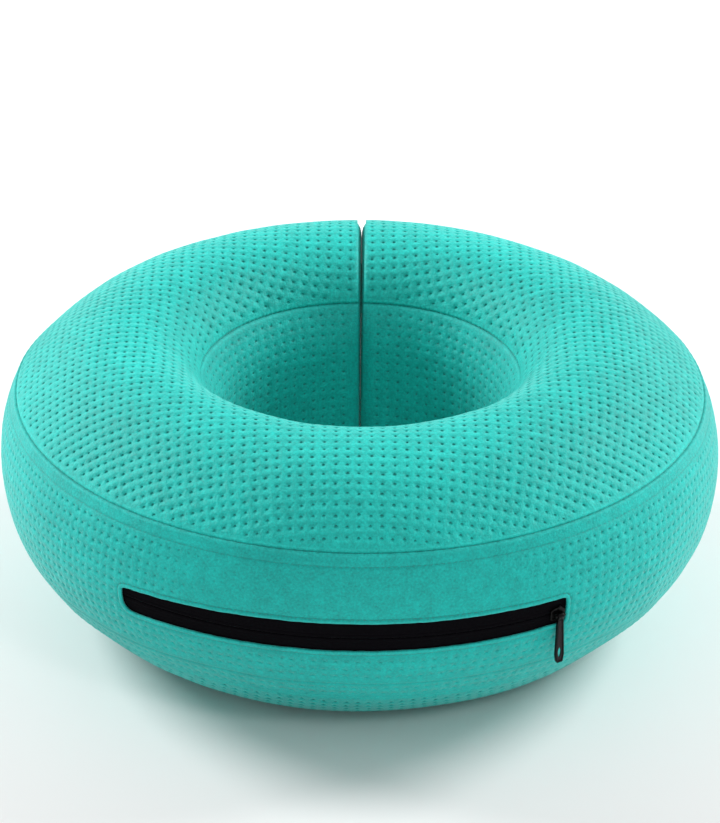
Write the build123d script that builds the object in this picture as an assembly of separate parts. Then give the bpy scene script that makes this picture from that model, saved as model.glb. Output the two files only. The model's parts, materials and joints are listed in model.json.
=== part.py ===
from build123d import *
import os
from math import asin, cos, degrees, radians, sin, sqrt

# Inflatable elizabethan collar: a fabric cover, cut as a split ring, around a PVC air bladder.
# Millimetres. The origin is on the neck axis at the height of the resting face, +Z is up,
# and the zipper faces -Y. Azimuths run from the front (-Y) towards +X, and the ring is
# split at azimuth 180.

# Cover section, radius against height
OUTER_RADIUS = 190.0
EQUATOR_Z = 86.0
BAND_ARC = 81.0
TOP_SEAM_Z = 122.5
BOTTOM_SEAM_Z = 33.0
CROWN_RADIUS = 120.0
CROWN_Z = 156.0
CROWN_ARC = (65.0, 33.0)
FOOT_OUTER_RADIUS = 119.0
FOOT_INNER_RADIUS = 104.0
FOOT_ARC = (35.0, 30.0)
NECK_RADIUS = 76.0
NECK_WALL_Z = (50.0, 100.0)
INNER_SEAM_RADIUS = 84.0
INNER_SEAM_Z = (24.0, 130.0)
SECTION_CENTRE = (130.0, 78.0)
FABRIC = 1.2

# Split ring: the two sewn ends face each other across a narrow gap
GAP_HALF_ANGLE = 0.55
END_PANEL_ANGLE = 0.45

# Air bladder
BLADDER_INSET = 5.4
BLADDER_SKIN = 0.6
BLADDER_END_ANGLE = 2.2
BLADDER_CAP_ANGLE = 0.35
BLADDER_WELD_Z = 78.0

# Zipper in the front of the side band
ZIP_Z = 77.5
ZIP_OPENING = 16.0
ZIP_LEFT = -39.0
ZIP_RIGHT = 33.4
TAPE_OVERRUN = 1.6
TAPE_WIDTH = 28.0
TAPE_INSET = 1.35
TAPE_THICKNESS = 0.5
TAPE_SPLIT = 0.2
COIL_WIDTH = 1.6
COIL_DEPTH = 1.3
SLIDER_AZIMUTH = 31.9
SLIDER_LENGTH = 8.6
SLIDER_WIDTH = 8.2
SLIDER_PLATE = 1.1
PLATE_LIFT = 0.35
BAIL_ROD = 0.65
BAIL_LIFT = 3.3
BAIL_SPAN = 3.0
PULL_LENGTH = 26.5
PULL_EYE_RADIUS = 1.5
PULL_SLOT = (0.95, 3.1)
PULL_SLOT_RISE = 5.6
RUNNING_FIT = 0.05

# Air valve, on the bladder's upper front, pushed in
VALVE_AZIMUTH = -8.0
VALVE_RISE = 10.7
FLANGE_RADIUS = 19.0
FLANGE_THICKNESS = 0.8
CUP_MOUTH_RADIUS = 12.0
CUP_FLOOR_RADIUS = 8.0
CUP_DEPTH = 16.0
STEM_RADIUS = 5.0
STEM_BORE = 3.2
STEM_TOP = -8.3
STEM_LENGTH = 13.7
PLUG_HEAD = 1.4
PLUG_PIN = 6.0
FLAP_GAP = 0.1
FLAP_THICKNESS = 0.6

# Strap and ring that close the split at the back
WEBBING = 1.2
STRAP_WIDTH = 30.0
STRAP_STANDOFF = 0.3
RING_WIRE = 1.0
RING_INNER_AZIMUTH = 170.0
RING_OUTER_AZIMUTH = 175.0
RING_HEIGHT = 36.0
TAB_AZIMUTH = 150.0
BASE_AZIMUTHS = (176.9, 212.0)
TAIL_PIVOT_AZIMUTH = 177.17
TAIL_END_AZIMUTH = 206.0
LOOP_AZIMUTHS = (184.0, 206.0)
HOOK_AZIMUTHS = (186.0, 204.0)
PATCH_MARGIN = 2.0
LABEL_AZIMUTHS = (228.0, 234.5)
LABEL_Z = (50.0, 62.0)
LABEL_THICKNESS = 0.5

BAND_CENTRE = (OUTER_RADIUS - BAND_ARC, EQUATOR_Z)
FAR = 400.0


def band_radius(height, depth=0.0):
    """Radius of the side band's surface, or of a surface parallel to it, at a height."""
    return BAND_CENTRE[0] + sqrt((BAND_ARC - depth) ** 2 - (height - EQUATOR_Z) ** 2)


def turned(section, start, end):
    """Section drawn in (radius, height), turned about the neck axis between two azimuths."""
    face = Rot(0, 0, start - 90) * (Plane.XZ * section)
    return revolve(face, Axis.Z, end - start)


def block(r_low, r_high, z_low, z_high):
    """Rectangle in (radius, height)."""
    centre = Pos((r_low + r_high) / 2, (z_low + z_high) / 2)
    return centre * Rectangle(r_high - r_low, z_high - z_low)


def wall_place(azimuth, rise, depth):
    """Place on the band's arc: local X along the ring, local Y up the wall, local Z outward."""
    angle, tilt = radians(azimuth), radians(rise)
    radius = BAND_CENTRE[0] + (BAND_ARC - depth) * cos(tilt)
    height = BAND_CENTRE[1] + (BAND_ARC - depth) * sin(tilt)
    outward = (sin(angle) * cos(tilt), -cos(angle) * cos(tilt), sin(tilt))
    along = (cos(angle), sin(angle), 0)
    origin = (radius * sin(angle), -radius * cos(angle), height)
    return Plane(origin=origin, x_dir=along, z_dir=outward).location


def cover_outline():
    """Closed outline of the cover's section, clockwise from the crown."""
    top_seam = (band_radius(TOP_SEAM_Z), TOP_SEAM_Z)
    bottom_seam = (band_radius(BOTTOM_SEAM_Z), BOTTOM_SEAM_Z)
    crown_arc = JernArc((CROWN_RADIUS, CROWN_Z), (1, 0), CROWN_ARC[0], -CROWN_ARC[1])
    shoulder = TangentArc(crown_arc @ 1, top_seam, tangent=crown_arc % 1)
    band = ThreePointArc(top_seam, (OUTER_RADIUS, EQUATOR_Z), bottom_seam)
    foot_arc = JernArc((FOOT_OUTER_RADIUS, 0), (1, 0), *FOOT_ARC)
    flank = TangentArc(foot_arc @ 1, bottom_seam, tangent=foot_arc % 1)
    low_seam = (INNER_SEAM_RADIUS, INNER_SEAM_Z[0])
    high_seam = (INNER_SEAM_RADIUS, INNER_SEAM_Z[1])
    foot = Line((FOOT_OUTER_RADIUS, 0), (FOOT_INNER_RADIUS, 0))
    heel = TangentArc((FOOT_INNER_RADIUS, 0), low_seam, tangent=(-1, 0))
    neck_low = TangentArc((NECK_RADIUS, NECK_WALL_Z[0]), low_seam, tangent=(0, -1))
    neck_wall = Line((NECK_RADIUS, NECK_WALL_Z[0]), (NECK_RADIUS, NECK_WALL_Z[1]))
    neck_high = TangentArc((NECK_RADIUS, NECK_WALL_Z[1]), high_seam, tangent=(0, 1))
    lip = TangentArc((CROWN_RADIUS, CROWN_Z), high_seam, tangent=(-1, 0))
    edges = [crown_arc, shoulder, band, flank, foot_arc, foot]
    edges += [heel, neck_low, neck_wall, neck_high, lip]
    return make_face(edges)


def seam_sector(first, second, *beyond):
    """Part of the section between two seams, seen from the section's centre."""
    def outside(point):
        return tuple(c + 1.6 * (p - c) for p, c in zip(point, SECTION_CENTRE))
    corners = [SECTION_CENTRE, outside(first), *beyond, outside(second)]
    return make_face(Polyline(*corners, close=True))


def cover_panels():
    """Four sewn panels of the cover, and the two flat panels that close its ends."""
    outline = cover_outline()
    skin = outline - offset(outline, -FABRIC, kind=Kind.TANGENT)
    top_seam = (band_radius(TOP_SEAM_Z), TOP_SEAM_Z)
    bottom_seam = (band_radius(BOTTOM_SEAM_Z), BOTTOM_SEAM_Z)
    low_seam = (INNER_SEAM_RADIUS, INNER_SEAM_Z[0])
    high_seam = (INNER_SEAM_RADIUS, INNER_SEAM_Z[1])
    sectors = {
        "top_panel": seam_sector(high_seam, top_seam, (60, 260), (200, 260)),
        "side_band": seam_sector(top_seam, bottom_seam, (260, 120), (260, 40)),
        "bottom_panel": seam_sector(bottom_seam, low_seam, (200, -100), (60, -100)),
        "neck_band": seam_sector(low_seam, high_seam, (20, 0), (20, 150)),
    }
    end = 180 - GAP_HALF_ANGLE - END_PANEL_ANGLE
    panels = {name: turned(skin & sector, -end, end) for name, sector in sectors.items()}
    half = ZIP_OPENING / 2
    opening = block(OUTER_RADIUS - 30, OUTER_RADIUS + 30, ZIP_Z - half, ZIP_Z + half)
    panels["side_band"] -= turned(opening, ZIP_LEFT, ZIP_RIGHT)
    panels["end_panel_right"] = turned(outline, end, 180 - GAP_HALF_ANGLE)
    panels["end_panel_left"] = turned(outline, GAP_HALF_ANGLE - 180, -end)
    return panels


def bladder_sheets():
    """Two PVC sheets, welded edge to edge at mid height and closed at both ends."""
    outline = offset(cover_outline(), -BLADDER_INSET, kind=Kind.TANGENT)
    cavity = offset(outline, -BLADDER_SKIN, kind=Kind.TANGENT)
    skin = outline - cavity
    end = 180 - BLADDER_END_ANGLE
    inner_end = end - BLADDER_CAP_ANGLE
    halves = {
        "bladder_top_sheet": block(0, FAR, BLADDER_WELD_Z, FAR),
        "bladder_bottom_sheet": block(0, FAR, -FAR, BLADDER_WELD_Z),
    }
    sheets = {}
    for name, half in halves.items():
        sheet = turned(skin & half, -inner_end, inner_end)
        sheet += turned(outline & half, inner_end, end)
        sheet += turned(outline & half, -end, -inner_end)
        sheets[name] = sheet
    mouth = extrude(Circle(CUP_MOUTH_RADIUS), 10, both=True)
    place = wall_place(VALVE_AZIMUTH, VALVE_RISE, BLADDER_INSET)
    sheets["bladder_top_sheet"] -= place * mouth
    return sheets


def valve():
    """Push-in air valve, drawn along its own axis with the bladder's outer face at zero."""
    place = wall_place(VALVE_AZIMUTH, VALVE_RISE, BLADDER_INSET)
    inner_arc = BAND_ARC - BLADDER_INSET - BLADDER_SKIN
    band_disc = Pos(*BAND_CENTRE) * (Circle(inner_arc) - Circle(inner_arc - FLANGE_THICKNESS))
    span = turned(band_disc & block(OUTER_RADIUS - 40, OUTER_RADIUS, 60, 140),
                  VALVE_AZIMUTH - 12, VALVE_AZIMUTH + 12)
    flange = span & (place * extrude(Circle(FLANGE_RADIUS), 12, both=True))
    flange -= place * extrude(Circle(CUP_MOUTH_RADIUS - FLANGE_THICKNESS), 12, both=True)
    rim = -BLADDER_SKIN
    floor = -CUP_DEPTH
    skin = FLANGE_THICKNESS
    cup_section = Polyline(
        (CUP_MOUTH_RADIUS, rim - 0.5), (CUP_MOUTH_RADIUS - skin, rim - 0.2),
        (CUP_FLOOR_RADIUS - skin, floor + skin), (STEM_RADIUS + 0.3, floor + skin),
        (STEM_RADIUS + 0.3, floor), (CUP_FLOOR_RADIUS, floor),
        (CUP_MOUTH_RADIUS, rim - 2.6), close=True)
    cup = revolve(Plane.XZ * make_face(cup_section), Axis.Z, 360)
    stem_base = STEM_TOP - STEM_LENGTH
    stem = Pos(0, 0, stem_base) * extrude(Circle(STEM_RADIUS) - Circle(STEM_BORE), STEM_LENGTH)
    head = Pos(0, 0, STEM_TOP) * extrude(Circle(STEM_RADIUS + 0.8), PLUG_HEAD)
    pin_radius = STEM_BORE - RUNNING_FIT
    pin = Pos(0, 0, STEM_TOP - PLUG_PIN) * extrude(Circle(pin_radius), PLUG_PIN)
    plug = head + chamfer(pin.edges().sort_by(Axis.Z)[0], 0.6)
    low, high = STEM_TOP - 5.0, STEM_TOP + PLUG_HEAD / 2
    reach = STEM_RADIUS + 1.6
    path = Polyline((STEM_RADIUS, low), (reach, low), (reach, high), (STEM_RADIUS + 0.8, high))
    strap_line = make_face(offset(path, 0.35, side=Side.BOTH).edges())
    strap_keep = Pos(STEM_RADIUS + 4, (low + high) / 2) * Rectangle(8, 20)
    tether = extrude(Plane.XZ * (strap_line & strap_keep), 2.0, both=True)
    tether -= Pos(0, 0, stem_base) * extrude(Circle(STEM_RADIUS), STEM_LENGTH)
    tether -= Pos(0, 0, STEM_TOP) * extrude(Circle(STEM_RADIUS + 0.8), PLUG_HEAD)
    flap_top = stem_base - FLAP_GAP
    flap = Pos(0, 0, flap_top - FLAP_THICKNESS) * extrude(Circle(STEM_RADIUS - 0.6), FLAP_THICKNESS)
    root = Rot(0, 90, 0) * extrude(Circle(FLAP_THICKNESS / 2), 2.0, both=True)
    flap += Pos(0, STEM_RADIUS - 0.8, flap_top - FLAP_THICKNESS / 2) * root
    return {
        "valve_flange": flange + place * cup,
        "valve_stem": place * stem,
        "valve_plug": place * plug,
        "plug_tether": place * tether,
        "valve_flap": place * flap,
    }


def zipper_tapes():
    """Two tapes behind the opening, each with its coil on the hidden side, and end stops."""
    outer = BAND_ARC - TAPE_INSET
    tape_skin = Pos(*BAND_CENTRE) * (Circle(outer) - Circle(outer - TAPE_THICKNESS))
    start, end = ZIP_LEFT - TAPE_OVERRUN, ZIP_RIGHT + TAPE_OVERRUN
    coil_face = band_radius(ZIP_Z, TAPE_INSET + TAPE_THICKNESS)
    coil_section = RectangleRounded(COIL_DEPTH, COIL_WIDTH, 0.45)
    post_room = turned(block(OUTER_RADIUS - 12, OUTER_RADIUS + 2, ZIP_Z - 1.2, ZIP_Z + 1.2),
                       SLIDER_AZIMUTH + 0.35, SLIDER_AZIMUTH + 1.3)
    pieces = {}
    stops = []
    for name, side in (("upper", 1), ("lower", -1)):
        edge = ZIP_Z + side * TAPE_SPLIT / 2
        limits = sorted((edge, ZIP_Z + side * TAPE_WIDTH / 2))
        tape = turned(tape_skin & block(OUTER_RADIUS - 20, OUTER_RADIUS, *limits), start, end)
        pieces[f"zipper_tape_{name}"] = tape - post_room
        height = edge + side * COIL_WIDTH / 2
        place = Pos(coil_face - COIL_DEPTH / 2 - 0.18, height)
        coil = turned(place * coil_section, start + 0.6, end - 0.6)
        pieces[f"zipper_coil_{name}"] = coil - post_room
        stop_section = place * Rectangle(COIL_DEPTH, COIL_WIDTH)
        stops.append(turned(stop_section, start + 0.1, start + 0.55))
        stops.append(turned(stop_section, end - 0.55, end - 0.1))
    pieces["zipper_end_stops"] = Compound(children=[s.solids()[0] for s in stops])
    return pieces


def slider_place():
    """Place on the tapes' outer face where the slider sits when the zipper is closed."""
    tilt = degrees(asin((ZIP_Z - EQUATOR_Z) / (BAND_ARC - TAPE_INSET)))
    return wall_place(SLIDER_AZIMUTH, tilt, TAPE_INSET)


def slider_plate(thickness):
    """Plate with wide shoulders at the leading end and a narrower tail."""
    nose, half = SLIDER_LENGTH / 2, SLIDER_WIDTH / 2
    outline = Polyline(
        (nose - 1.2, -half + 1.2), (nose, -half + 2.6), (nose, half - 2.6), (nose - 1.2, half - 1.2),
        (nose - 2.8, half), (0.2, half), (-nose + 0.8, half - 0.9), (-nose, half - 1.8),
        (-nose, -half + 1.8), (-nose + 0.8, -half + 0.9), (0.2, -half), (nose - 2.8, -half),
        close=True)
    return extrude(make_face(outline), thickness)


def slider():
    """Slider: outer and inner plates joined by a post, side flanges, and a bail on top."""
    tape_and_coil = TAPE_THICKNESS + COIL_DEPTH + 0.3
    outer_plate = slider_plate(SLIDER_PLATE)
    outer_plate = fillet(outer_plate.faces().sort_by(Axis.Z)[-1].edges(), 0.4)
    body = Pos(0, 0, PLATE_LIFT) * outer_plate
    body += Pos(0, 0, -tape_and_coil - PLATE_LIFT - SLIDER_PLATE) * slider_plate(SLIDER_PLATE)
    post_height = tape_and_coil + 2 * PLATE_LIFT + 0.4
    post = Box(1.5, 1.3, post_height)
    body += Pos(SLIDER_LENGTH / 2 - 1.6, 0, PLATE_LIFT + 0.2 - post_height / 2) * post
    for side in (1, -1):
        flange = Box(4.6, 0.7, COIL_DEPTH)
        height = -tape_and_coil - PLATE_LIFT + COIL_DEPTH / 2 - 0.05
        body += Pos(-0.9, side * (SLIDER_WIDTH / 2 - 0.45), height) * flange
    rod = Rot(0, 90, 0) * extrude(Circle(BAIL_ROD), BAIL_SPAN, both=True)
    body += Pos(0, 0, BAIL_LIFT) * rod
    leg_height = BAIL_LIFT - PLATE_LIFT - SLIDER_PLATE + 0.2
    for side in (1, -1):
        leg = Pos(0, 0, BAIL_LIFT - leg_height / 2) * Box(0.9, 1.3, leg_height)
        cap = Pos(0, 0, BAIL_LIFT) * (Rot(0, 90, 0) * extrude(Circle(BAIL_ROD), 0.45, both=True))
        body += Pos(side * (BAIL_SPAN - 0.45), 0, 0) * (leg + cap)
    return slider_place() * body


def pull_pivot():
    """Centre of the bail's rod."""
    return (slider_place() * Pos(0, 0, BAIL_LIFT)).position


def pull():
    """Pull tab hanging straight down: an eye round the bail, a raised rim and a slot."""
    neck, wide, tip = 1.6, 2.5, 1.5
    outline = Polyline(
        (-neck, 0), (neck, 0), (wide, -PULL_LENGTH + 4.5), (tip + 0.5, -PULL_LENGTH + 0.8),
        (tip, -PULL_LENGTH), (-tip, -PULL_LENGTH), (-tip - 0.5, -PULL_LENGTH + 0.8),
        (-wide, -PULL_LENGTH + 4.5), close=True)
    shape = make_face(outline)
    tab = extrude(Plane.XZ * shape, 0.8, both=True)
    panel = offset(shape, -0.85, kind=Kind.TANGENT)
    panel &= Pos(0, -PULL_LENGTH / 2 - 2.5) * Rectangle(8, PULL_LENGTH)
    for side in (1, -1):
        tab -= Pos(0, side * 0.8, 0) * extrude(Plane.XZ * panel, 0.4, both=True)
    middle = -PULL_LENGTH + PULL_SLOT_RISE
    low, high = (0, middle - PULL_SLOT[1]), (0, middle + PULL_SLOT[1])
    right = ThreePointArc(low, (PULL_SLOT[0], middle), high)
    left = ThreePointArc(high, (-PULL_SLOT[0], middle), low)
    tab -= extrude(Plane.XZ * make_face([right, left]), 2, both=True)
    tab += Rot(0, 90, 0) * extrude(Circle(PULL_EYE_RADIUS), 1.6, both=True)
    tab -= Rot(0, 90, 0) * extrude(Circle(BAIL_ROD + RUNNING_FIT), 4, both=True)
    return Pos(*pull_pivot()) * Rot(0, 0, SLIDER_AZIMUTH) * tab


def closure():
    """Webbing strap, wire ring and touch-fastener patches on the outside of the back."""
    z_low, z_high = EQUATOR_Z - STRAP_WIDTH / 2, EQUATOR_Z + STRAP_WIDTH / 2
    inside = OUTER_RADIUS + STRAP_STANDOFF
    wire_hole = RING_WIRE + RUNNING_FIT
    bar_radius = inside + WEBBING + wire_hole
    tail_inside = bar_radius + wire_hole
    patch = (tail_inside - inside - WEBBING) / 2

    def post_at(radius, azimuth):
        angle = radians(azimuth)
        return Pos(radius * sin(angle), -radius * cos(angle), EQUATOR_Z)

    def layer(radius, thickness, azimuths, margin=0.0):
        return turned(block(radius, radius + thickness, z_low + margin, z_high - margin), *azimuths)

    def sleeve(azimuth):
        ring = Circle(wire_hole + WEBBING) - Circle(wire_hole)
        return post_at(bar_radius, azimuth) * extrude(ring, STRAP_WIDTH / 2, both=True)

    tab = layer(inside, 2 * WEBBING, (TAB_AZIMUTH, RING_INNER_AZIMUTH - 0.62))
    tab += sleeve(RING_INNER_AZIMUTH)
    bar_hole = extrude(Circle(wire_hole), STRAP_WIDTH, both=True)
    tab -= post_at(bar_radius, RING_INNER_AZIMUTH) * bar_hole

    fold = layer(inside, WEBBING, (RING_OUTER_AZIMUTH, BASE_AZIMUTHS[0]))
    fold += layer(tail_inside, WEBBING, (RING_OUTER_AZIMUTH, BASE_AZIMUTHS[0]))
    behind = turned(block(inside - 1, tail_inside + 3, z_low - 1, z_high + 1),
                    RING_OUTER_AZIMUTH - 3, RING_OUTER_AZIMUTH)
    fold += sleeve(RING_OUTER_AZIMUTH) & behind

    tail_middle = tail_inside + WEBBING / 2
    tail = layer(tail_inside, WEBBING, (TAIL_PIVOT_AZIMUTH, TAIL_END_AZIMUTH))
    root = extrude(Circle(WEBBING / 2), STRAP_WIDTH / 2, both=True)
    tail += post_at(tail_middle, TAIL_PIVOT_AZIMUTH) * root

    middle = (RING_INNER_AZIMUTH + RING_OUTER_AZIMUTH) / 2
    half_span = radians(RING_OUTER_AZIMUTH - RING_INNER_AZIMUTH) / 2
    across, tall = bar_radius * sin(half_span), RING_HEIGHT / 2
    loop = Plane.XZ * RectangleRounded(2 * across, 2 * tall, 3.0).face().outer_wire()
    section = Plane(origin=(across, 0, 0), z_dir=(0, 0, 1)) * Circle(RING_WIRE)
    ring = sweep(section, path=loop)
    ring_place = post_at(bar_radius * cos(half_span), middle) * Rot(0, 0, middle)

    return {
        "ring_tab": tab,
        "ring_buckle": ring_place * ring,
        "strap_base": layer(inside, WEBBING, BASE_AZIMUTHS),
        "strap_fold": fold,
        "strap_tail": tail,
        "loop_patch": layer(inside + WEBBING, patch, LOOP_AZIMUTHS, PATCH_MARGIN),
        "hook_patch": layer(tail_inside - patch, patch, HOOK_AZIMUTHS, PATCH_MARGIN),
    }


def care_label():
    """Blank woven label sewn flat on the back of the side band."""
    skin = Pos(*BAND_CENTRE) * (Circle(BAND_ARC + LABEL_THICKNESS) - Circle(BAND_ARC))
    return turned(skin & block(OUTER_RADIUS - 30, OUTER_RADIUS + 5, *LABEL_Z), *LABEL_AZIMUTHS)


pieces = cover_panels()
pieces.update(bladder_sheets())
pieces.update(valve())
pieces.update(zipper_tapes())
pieces["zipper_slider"] = slider()
pieces["zipper_pull"] = pull()
pieces.update(closure())
pieces["care_label"] = care_label()

os.makedirs("parts", exist_ok=True)
for name, piece in pieces.items():
    export_step(piece, f"parts/{name}.step")
    print(name, len(piece.solids()), round(piece.volume))

valve_place = wall_place(VALVE_AZIMUTH, VALVE_RISE, BLADDER_INSET)
print("valve axis", valve_place.position, Plane(valve_place).z_dir)
print("pull pivot", pull_pivot())
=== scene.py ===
import json
import math
import random

import bmesh
import bpy
import numpy as np
from mathutils import Matrix, Vector, noise
from mathutils.geometry import delaunay_2d_cdt


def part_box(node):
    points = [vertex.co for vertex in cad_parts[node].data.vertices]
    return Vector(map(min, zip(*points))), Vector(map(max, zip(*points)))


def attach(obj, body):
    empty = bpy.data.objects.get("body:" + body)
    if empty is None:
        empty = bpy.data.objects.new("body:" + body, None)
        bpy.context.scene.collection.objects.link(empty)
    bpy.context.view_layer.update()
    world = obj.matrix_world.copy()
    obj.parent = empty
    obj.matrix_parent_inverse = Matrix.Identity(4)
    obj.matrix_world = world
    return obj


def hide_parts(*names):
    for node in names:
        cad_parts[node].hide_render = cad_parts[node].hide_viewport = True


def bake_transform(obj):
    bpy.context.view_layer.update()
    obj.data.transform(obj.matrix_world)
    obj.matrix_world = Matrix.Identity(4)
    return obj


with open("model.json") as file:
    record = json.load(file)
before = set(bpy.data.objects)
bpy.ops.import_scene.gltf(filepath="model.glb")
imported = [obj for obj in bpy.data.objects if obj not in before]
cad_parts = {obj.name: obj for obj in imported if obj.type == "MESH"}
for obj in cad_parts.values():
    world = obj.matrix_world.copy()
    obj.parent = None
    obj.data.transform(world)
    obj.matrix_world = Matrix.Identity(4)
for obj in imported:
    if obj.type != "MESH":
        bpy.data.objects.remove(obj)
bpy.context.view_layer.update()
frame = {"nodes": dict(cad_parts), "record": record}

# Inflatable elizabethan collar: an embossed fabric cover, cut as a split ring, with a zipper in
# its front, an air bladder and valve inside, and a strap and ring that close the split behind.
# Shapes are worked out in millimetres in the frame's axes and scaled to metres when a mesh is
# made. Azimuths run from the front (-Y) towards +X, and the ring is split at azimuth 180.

MM = 0.001
RNG = random.Random(7)

# Cover section, radius against height
OUTER_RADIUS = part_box("side_band")[1].x / MM
BOTTOM_SEAM_Z, TOP_SEAM_Z = (corner.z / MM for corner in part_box("side_band"))
LOW_SEAM_Z, HIGH_SEAM_Z = (corner.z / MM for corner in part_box("neck_band"))
CROWN_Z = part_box("top_panel")[1].z / MM
NECK_RADIUS = next(m for m in frame["record"]["mounts"] if m["name"] == "neck_hole")["dims"]["r_mm"]
EQUATOR_Z = 86.0
BAND_ARC = 81.0
CROWN_RADIUS = 120.0
CROWN_ARC = (65.0, math.radians(33))
FOOT_RADII = (119.0, 104.0)
FOOT_ARC = (35.0, math.radians(30))
NECK_WALL_Z = (50.0, 100.0)
INNER_SEAM_RADIUS = 84.0
SECTION_CENTRE = np.array((130.0, 78.0))
FABRIC = 1.2
PANEL_END = math.radians(179.05)
ARC_STEP = 0.1
SEAM_EASE = 4.0
# Panels in turn round the section, and whether the line of each runs that way
PANEL_ORDER = (("top", False), ("side", True), ("bottom", True), ("neck", True))

# Embossed pits of the knit: half sizes, rim, and each ring's size, depth, lift, tone and slope; tone is
# painted shade in the pit, and slope makes it darker on the upper wall and paints a highlight on the
# lower wall
PIT = (1.26, 1.0)
PIT_RIM = (1.0, 0.92, 1.08, 0.92, 1.0, 1.0, 0.96, 1.0)
PIT_RINGS = ((1.0, 0.0, 0.0, -0.12, 0.2), (0.6, 0.65, 0.26, 0.5, 0.75))
PIT_DEPTH = 0.7
PIT_JITTER = 0.3
RAISED = 0.09

# Seams and lines of stitching
SEAM_ROWS = (0.0, 0.45, 0.9, 1.5, 2.3, 3.3)
GROOVE_ROWS = (-1.9, -1.1, -0.55, 0.0, 0.55, 1.1, 1.9)
TOPSTITCH_Z = 115.9
HEM_STITCH_Z = 46.4
STITCH_PITCH = 3.1
THREAD = 0.22

# Zipper, with each row of the hem round its opening: distance away, height and tone; a negative tone is
# a painted highlight on the turned lip and a positive one is painted shade
ZIP_WINDOW_Z = 78.1
ZIP_Z = 77.5
ZIP_HALF_HEIGHT = 7.9
ZIP_ENDS = (math.radians(-39.0), math.radians(33.4))
HEM_ROWS = ((0.5, 0.3, -0.9), (1.2, 0.55, -0.5), (2.0, 0.35, 0.0), (2.6, -0.3, 0.4), (3.3, 0.05, 0.0))
TAPE_INSET = 1.35
TAPE_THICKNESS = 0.5
COIL_DEPTH = 2.68
COIL_GAP = 1.27
COIL_SIZE = (0.47, 0.43)
COIL_WIRE = 0.17

# Bladder and valve
BLADDER_INSET = 5.4
WELD_Z = 78.0
VALVE_MOUTH = 13.5

# Strap and ring
WEBBING = 1.2
STRAP_WIDTH = 30.0
STRAP_INSIDE = OUTER_RADIUS + 0.3
BAR_RADIUS = 192.55
BAR_AZIMUTHS = (170.0, 175.0)
LOOP_TURN = 1.65
TAIL_INSIDE = 193.6
INNER_LAYER = STRAP_INSIDE + WEBBING / 2
OUTER_LAYER = TAIL_INSIDE + WEBBING / 2


def joint(name):
    return next(j for j in frame["record"]["behaviour"]["joints"] if j["name"] == name)


# ---- section of the cover

def unit_rows(rows):
    return rows / np.linalg.norm(rows, axis=1)[:, None]


def smooth(t):
    """Eases from 0 to 1."""
    t = np.clip(t, 0, 1)
    return t * t * (3 - 2 * t)


def reach_along(line):
    """How far along a line each of its points lies."""
    return np.concatenate(([0], np.cumsum(np.hypot(*np.diff(line, axis=0).T))))


def points_at(line, reach, where):
    """Points of a line at distances along it."""
    return np.column_stack([np.interp(where, reach, line[:, k]) for k in (0, 1)])


def round_loop(line, spacing):
    """Even distances round a closed line, and a function that gives its points at distances."""
    closed = np.vstack((line, line[:1]))
    reach = reach_along(closed)
    where = np.linspace(0, reach[-1], int(reach[-1] / spacing), endpoint=False)
    return where, lambda distance: points_at(closed, reach, distance % reach[-1])


def arc(start, heading, end):
    """Points of the arc that leaves start at a heading and ends at end."""
    across, up = end[0] - start[0], end[1] - start[1]
    chord = math.hypot(across, up)
    half = (math.atan2(up, across) - heading + math.pi) % (2 * math.pi) - math.pi
    if abs(half) < 1e-9:
        t = np.linspace(0, 1, max(2, int(chord / ARC_STEP)))
        return np.column_stack((start[0] + across * t, start[1] + up * t))
    length = chord * half / math.sin(half)
    bend = 2 * half / length
    angle = heading + 2 * half * np.linspace(0, 1, max(2, int(length / ARC_STEP)))
    return np.column_stack((
        start[0] + (np.sin(angle) - math.sin(heading)) / bend,
        start[1] - (np.cos(angle) - math.cos(heading)) / bend))


def band_point(height, depth=0.0):
    """Point of the side band's arc at a height."""
    reach = math.sqrt((BAND_ARC - depth) ** 2 - (height - EQUATOR_Z) ** 2)
    return (OUTER_RADIUS - BAND_ARC + reach, height)


class Profile:
    """Line of the section that a panel follows, measured along it from its first seam."""

    def __init__(self, *runs):
        self.points = points = np.concatenate([runs[0], *(run[1:] for run in runs[1:])])
        self.s = reach_along(points)
        self.length = self.s[-1]
        ahead = np.gradient(points, self.s, axis=0)
        normal = unit_rows(np.column_stack((ahead[:, 1], -ahead[:, 0])))
        middle = len(points) // 2
        inwards = np.dot(normal[middle], points[middle] - SECTION_CENTRE) < 0
        self.normal = -normal if inwards else normal

    def ease_normal(self, end, target):
        """Turns the normals beside a seam, at end 0 or -1, towards the one both panels share there."""
        away = self.length - self.s if end else self.s
        weight = 1 - smooth(away / SEAM_EASE)[:, None]
        self.normal = unit_rows(self.normal * (1 - weight) + target * weight)

    def at(self, s, height=0.0):
        """(radius, height above the floor) of points that stand proud of the line."""
        (radius, z), (out, up) = ([np.interp(s, self.s, rows[:, k]) for k in (0, 1)]
                                  for rows in (self.points, self.normal))
        return radius + height * out, z + height * up

    def s_at_z(self, z):
        """Distance along a profile that falls all the way, at a height."""
        return float(np.interp(-z, -self.points[:, 1], self.s))


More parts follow.
